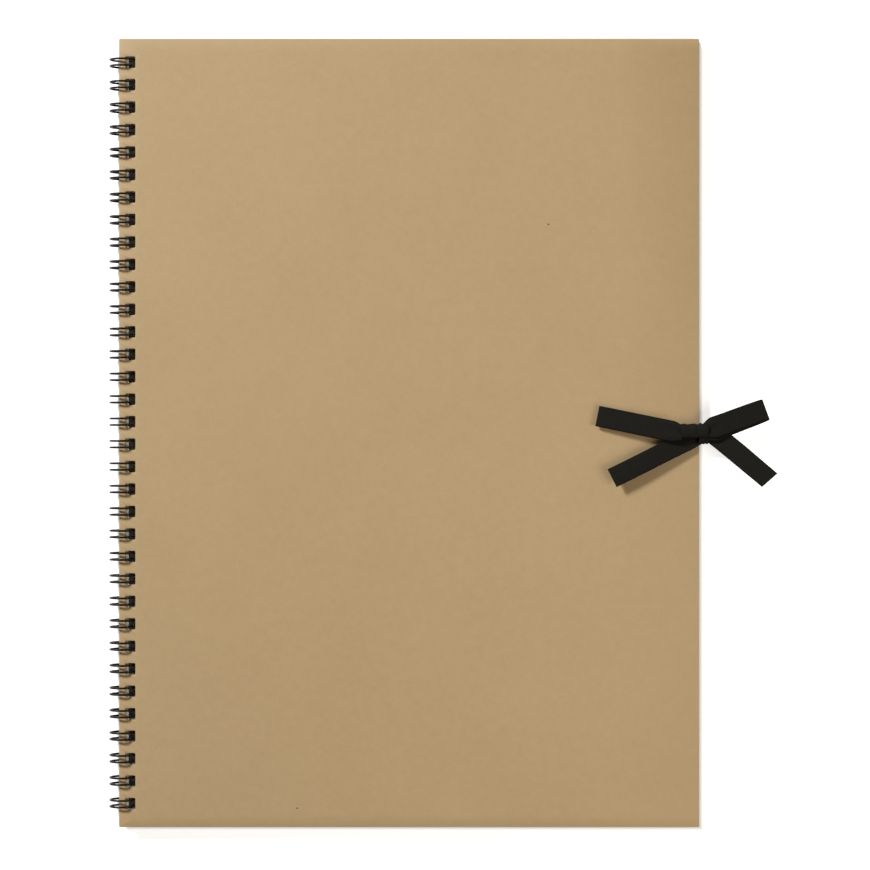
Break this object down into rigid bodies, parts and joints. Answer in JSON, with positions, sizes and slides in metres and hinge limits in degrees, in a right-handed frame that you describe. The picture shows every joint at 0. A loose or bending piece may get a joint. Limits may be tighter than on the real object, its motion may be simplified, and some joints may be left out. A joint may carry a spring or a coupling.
{
  "type": "sketchbook",
  "caption": "Wire-bound sketchbook with stiff kraft board covers, white drawing leaves on a twin-loop wire, and a ribbon tied in a bow at the fore edge.",
  "frame": {"origin": "centre of the back cover's underside, where the closed book lies on its back", "axes": "+Z out of the front cover, +Y along the spine towards the head, +X from the spine to the fore edge"},
  "size_m": [0.2509, 0.297, 0.0133],
  "materials": {
    "kraft_board": "matte kraft board",
    "lining_paper": "matte lining paper",
    "drawing_paper": "matte drawing paper",
    "black_wire": "black plastic coated wire",
    "black_ribbon": "woven ribbon"
  },
  "bodies": {
    "back_cover": {"back_cover_board": "kraft_board", "back_cover_lining": "lining_paper", "back_ribbon": "black_ribbon"},
    "wire": {"binding_wire": "black_wire"},
    "front_cover": {"front_cover_board": "kraft_board", "front_cover_lining": "lining_paper", "front_ribbon": "black_ribbon", "bow_knot": "black_ribbon", "bow_loop_left": "black_ribbon", "bow_loop_right": "black_ribbon", "bow_tail_left": "black_ribbon", "bow_tail_right": "black_ribbon"},
    "leaf_01": {"leaf_01": "drawing_paper"},
    "leaf_02": {"leaf_02": "drawing_paper"},
    "leaf_03": {"leaf_03": "drawing_paper"},
    "leaf_04": {"leaf_04": "drawing_paper"},
    "leaf_05": {"leaf_05": "drawing_paper"},
    "leaf_06": {"leaf_06": "drawing_paper"},
    "leaf_07": {"leaf_07": "drawing_paper"},
    "leaf_08": {"leaf_08": "drawing_paper"},
    "leaf_09": {"leaf_09": "drawing_paper"},
    "leaf_10": {"leaf_10": "drawing_paper"},
    "leaf_11": {"leaf_11": "drawing_paper"},
    "leaf_12": {"leaf_12": "drawing_paper"},
    "leaf_13": {"leaf_13": "drawing_paper"},
    "leaf_14": {"leaf_14": "drawing_paper"},
    "leaf_15": {"leaf_15": "drawing_paper"},
    "leaf_16": {"leaf_16": "drawing_paper"},
    "leaf_17": {"leaf_17": "drawing_paper"},
    "leaf_18": {"leaf_18": "drawing_paper"}
  },
  "joints": [
    {"name": "front_cover_hinge", "type": "hinge", "parent": "back_cover", "child": "front_cover", "pos_m": [-0.1094, 0, 0.00258], "axis": [0, -1, 0], "range_deg": [0, 180]},
    {"name": "wire_shift", "type": "slide", "parent": "back_cover", "child": "wire", "axis": [1, 0, 0], "range_m": [-0.0011, 0]},
    {"name": "leaf_01_hinge", "type": "hinge", "parent": "back_cover", "child": "leaf_01", "pos_m": [-0.1094, 0, 0.00258], "axis": [0, -1, 0], "range_deg": [0, 0.6]},
    {"name": "leaf_02_hinge", "type": "hinge", "parent": "back_cover", "child": "leaf_02", "pos_m": [-0.1094, 0, 0.00258], "axis": [0, -1, 0], "range_deg": [0, 1.2]},
    {"name": "leaf_03_hinge", "type": "hinge", "parent": "back_cover", "child": "leaf_03", "pos_m": [-0.1094, 0, 0.00258], "axis": [0, -1, 0], "range_deg": [0, 1.8]},
    {"name": "leaf_04_hinge", "type": "hinge", "parent": "back_cover", "child": "leaf_04", "pos_m": [-0.1094, 0, 0.00258], "axis": [0, -1, 0], "range_deg": [0, 2.4]},
    {"name": "leaf_05_hinge", "type": "hinge", "parent": "back_cover", "child": "leaf_05", "pos_m": [-0.1094, 0, 0.00258], "axis": [0, -1, 0], "range_deg": [0, 3]},
    {"name": "leaf_06_hinge", "type": "hinge", "parent": "back_cover", "child": "leaf_06", "pos_m": [-0.1094, 0, 0.00258], "axis": [0, -1, 0], "range_deg": [0, 3.6]},
    {"name": "leaf_07_hinge", "type": "hinge", "parent": "back_cover", "child": "leaf_07", "pos_m": [-0.1094, 0, 0.00258], "axis": [0, -1, 0], "range_deg": [0, 4.2]},
    {"name": "leaf_08_hinge", "type": "hinge", "parent": "back_cover", "child": "leaf_08", "pos_m": [-0.1094, 0, 0.00258], "axis": [0, -1, 0], "range_deg": [0, 4.8]},
    {"name": "leaf_09_hinge", "type": "hinge", "parent": "back_cover", "child": "leaf_09", "pos_m": [-0.1094, 0, 0.00258], "axis": [0, -1, 0], "range_deg": [0, 5.4]},
    {"name": "leaf_10_hinge", "type": "hinge", "parent": "back_cover", "child": "leaf_10", "pos_m": [-0.1094, 0, 0.00258], "axis": [0, -1, 0], "range_deg": [0, 174.6]},
    {"name": "leaf_11_hinge", "type": "hinge", "parent": "back_cover", "child": "leaf_11", "pos_m": [-0.1094, 0, 0.00258], "axis": [0, -1, 0], "range_deg": [0, 175.2]},
    {"name": "leaf_12_hinge", "type": "hinge", "parent": "back_cover", "child": "leaf_12", "pos_m": [-0.1094, 0, 0.00258], "axis": [0, -1, 0], "range_deg": [0, 175.8]},
    {"name": "leaf_13_hinge", "type": "hinge", "parent": "back_cover", "child": "leaf_13", "pos_m": [-0.1094, 0, 0.00258], "axis": [0, -1, 0], "range_deg": [0, 176.4]},
    {"name": "leaf_14_hinge", "type": "hinge", "parent": "back_cover", "child": "leaf_14", "pos_m": [-0.1094, 0, 0.00258], "axis": [0, -1, 0], "range_deg": [0, 177]},
    {"name": "leaf_15_hinge", "type": "hinge", "parent": "back_cover", "child": "leaf_15", "pos_m": [-0.1094, 0, 0.00258], "axis": [0, -1, 0], "range_deg": [0, 177.6]},
    {"name": "leaf_16_hinge", "type": "hinge", "parent": "back_cover", "child": "leaf_16", "pos_m": [-0.1094, 0, 0.00258], "axis": [0, -1, 0], "range_deg": [0, 178.2]},
    {"name": "leaf_17_hinge", "type": "hinge", "parent": "back_cover", "child": "leaf_17", "pos_m": [-0.1094, 0, 0.00258], "axis": [0, -1, 0], "range_deg": [0, 178.8]},
    {"name": "leaf_18_hinge", "type": "hinge", "parent": "back_cover", "child": "leaf_18", "pos_m": [-0.1094, 0, 0.00258], "axis": [0, -1, 0], "range_deg": [0, 179.4]}
  ],
  "couplings": [
    {"joint": "wire_shift", "follows": "front_cover_hinge", "m_per_rad": -0.00035},
    {"joint": "leaf_01_hinge", "follows": "front_cover_hinge", "ratio": 0.003333},
    {"joint": "leaf_02_hinge", "follows": "front_cover_hinge", "ratio": 0.006666},
    {"joint": "leaf_03_hinge", "follows": "front_cover_hinge", "ratio": 0.01},
    {"joint": "leaf_04_hinge", "follows": "front_cover_hinge", "ratio": 0.013333},
    {"joint": "leaf_05_hinge", "follows": "front_cover_hinge", "ratio": 0.016666},
    {"joint": "leaf_06_hinge", "follows": "front_cover_hinge", "ratio": 0.02},
    {"joint": "leaf_07_hinge", "follows": "front_cover_hinge", "ratio": 0.023333},
    {"joint": "leaf_08_hinge", "follows": "front_cover_hinge", "ratio": 0.026666},
    {"joint": "leaf_09_hinge", "follows": "front_cover_hinge", "ratio": 0.03},
    {"joint": "leaf_10_hinge", "follows": "front_cover_hinge", "ratio": 0.97},
    {"joint": "leaf_11_hinge", "follows": "front_cover_hinge", "ratio": 0.97333},
    {"joint": "leaf_12_hinge", "follows": "front_cover_hinge", "ratio": 0.97667},
    {"joint": "leaf_13_hinge", "follows": "front_cover_hinge", "ratio": 0.98},
    {"joint": "leaf_14_hinge", "follows": "front_cover_hinge", "ratio": 0.98333},
    {"joint": "leaf_15_hinge", "follows": "front_cover_hinge", "ratio": 0.98667},
    {"joint": "leaf_16_hinge", "follows": "front_cover_hinge", "ratio": 0.99},
    {"joint": "leaf_17_hinge", "follows": "front_cover_hinge", "ratio": 0.99333},
    {"joint": "leaf_18_hinge", "follows": "front_cover_hinge", "ratio": 0.99667}
  ]
}
